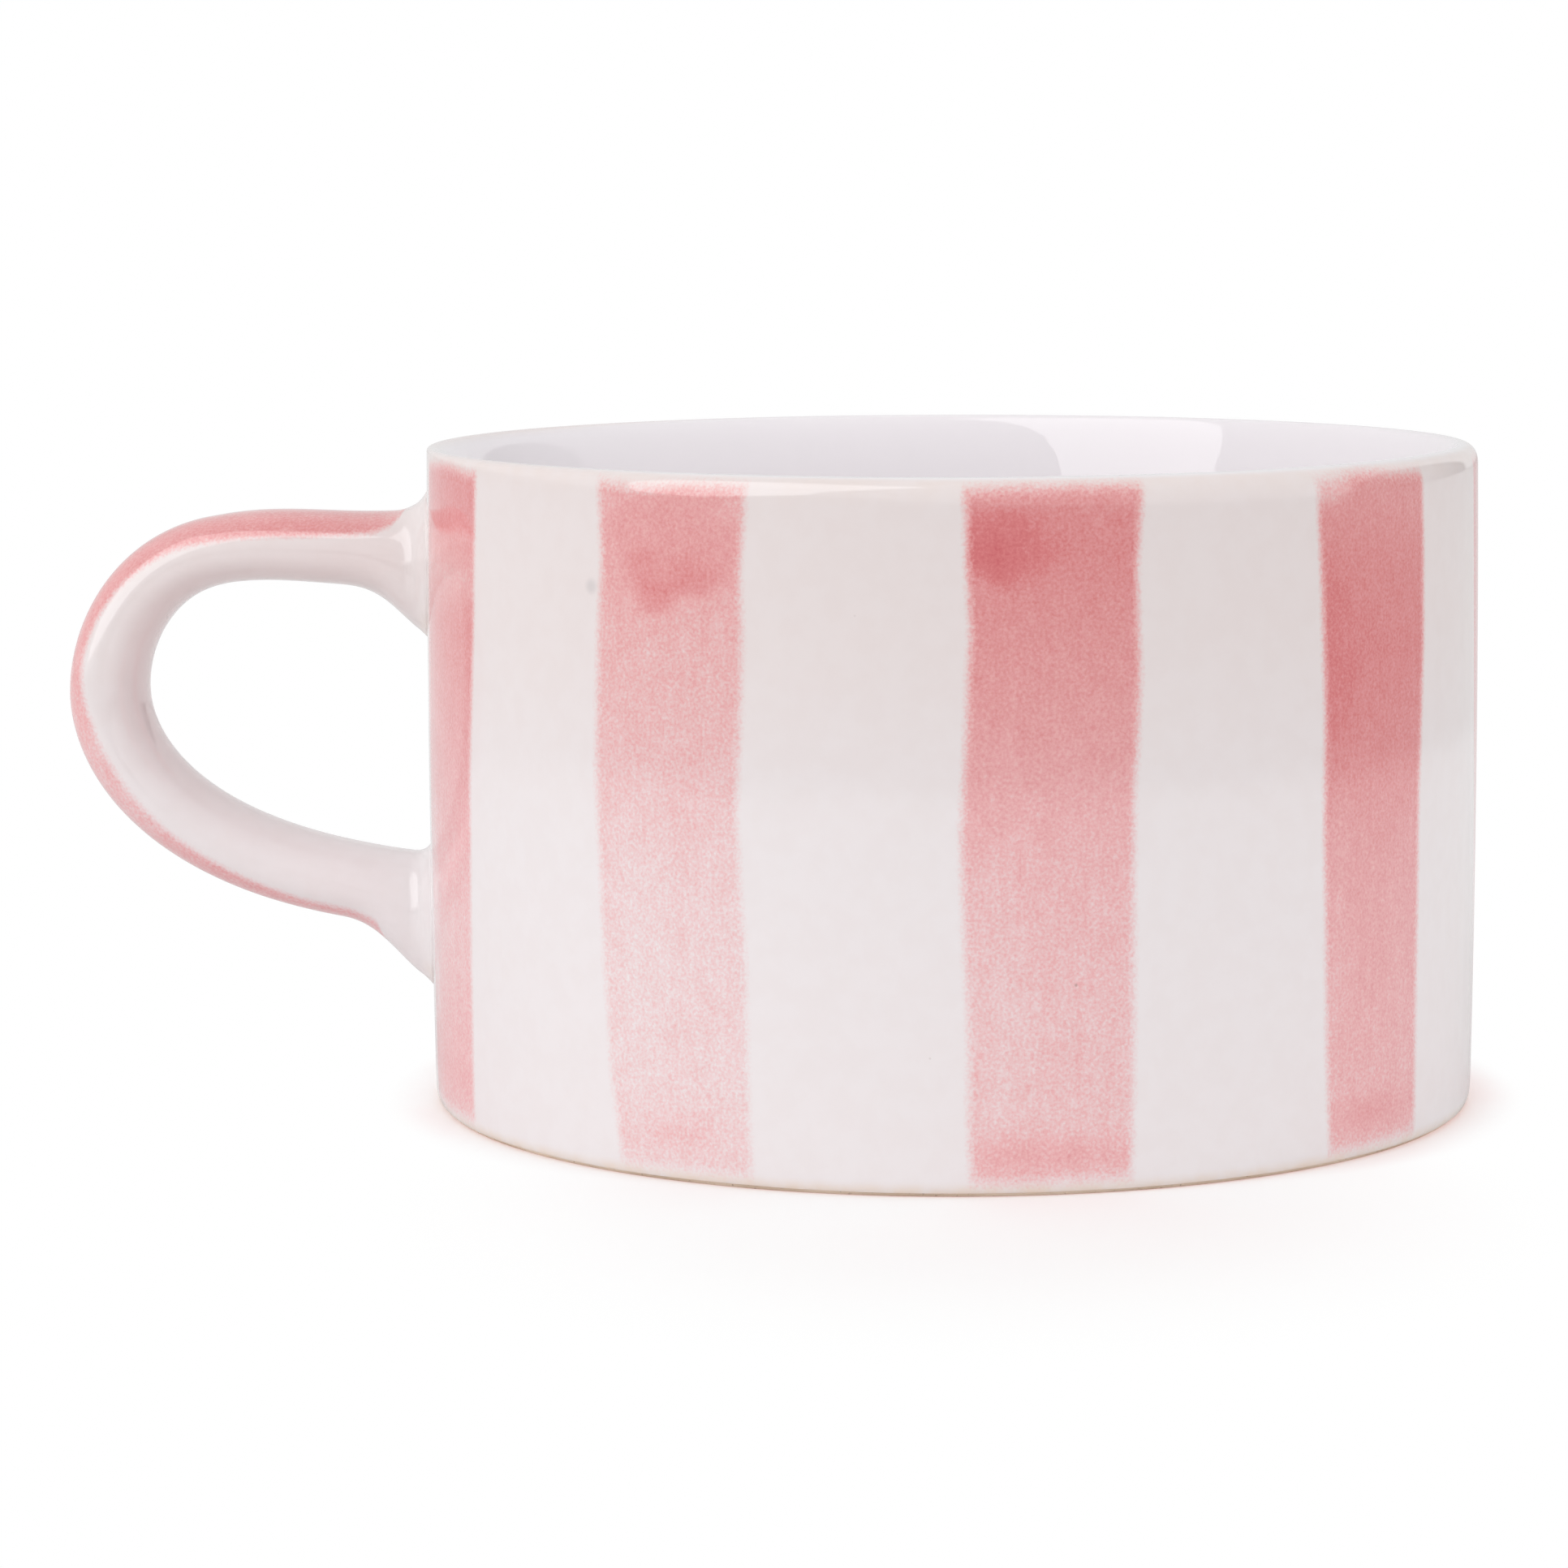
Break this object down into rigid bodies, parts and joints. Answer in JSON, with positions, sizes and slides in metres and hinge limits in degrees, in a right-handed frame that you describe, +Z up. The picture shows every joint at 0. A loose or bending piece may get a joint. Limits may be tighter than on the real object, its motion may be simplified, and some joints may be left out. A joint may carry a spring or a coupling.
{
  "type": "stoneware mug",
  "caption": "Wide, low, straight-sided stoneware mug with a loop handle that flares at both roots, a rounded lip, soft upright stripes and a bare flat foot.",
  "frame": {"origin": "centre of the flat foot, on the table plane and on the axis of the cup", "axes": "+Z is up along the axis of the cup, the handle points towards -X, and the view along +Y shows the handle on the left"},
  "size_m": [0.1489, 0.11, 0.0688],
  "materials": {
    "bare_clay": "bare fired stoneware, matt, fine grain",
    "joint_slip": "fired slip, matt, under the glaze",
    "liner_glaze": "cool white gloss glaze",
    "outer_glaze": "warm white gloss glaze with soft speckled rose stripes",
    "handle_glaze": "warm white gloss glaze with a soft rose stripe along the outer face"
  },
  "bodies": {
    "root": {"cup_body": "bare_clay", "handle_clay": "bare_clay", "upper_slip_joint": "joint_slip", "lower_slip_joint": "joint_slip", "liner_glaze": "liner_glaze", "outer_glaze": "outer_glaze", "handle_glaze": "handle_glaze"}
  },
  "joints": []
}
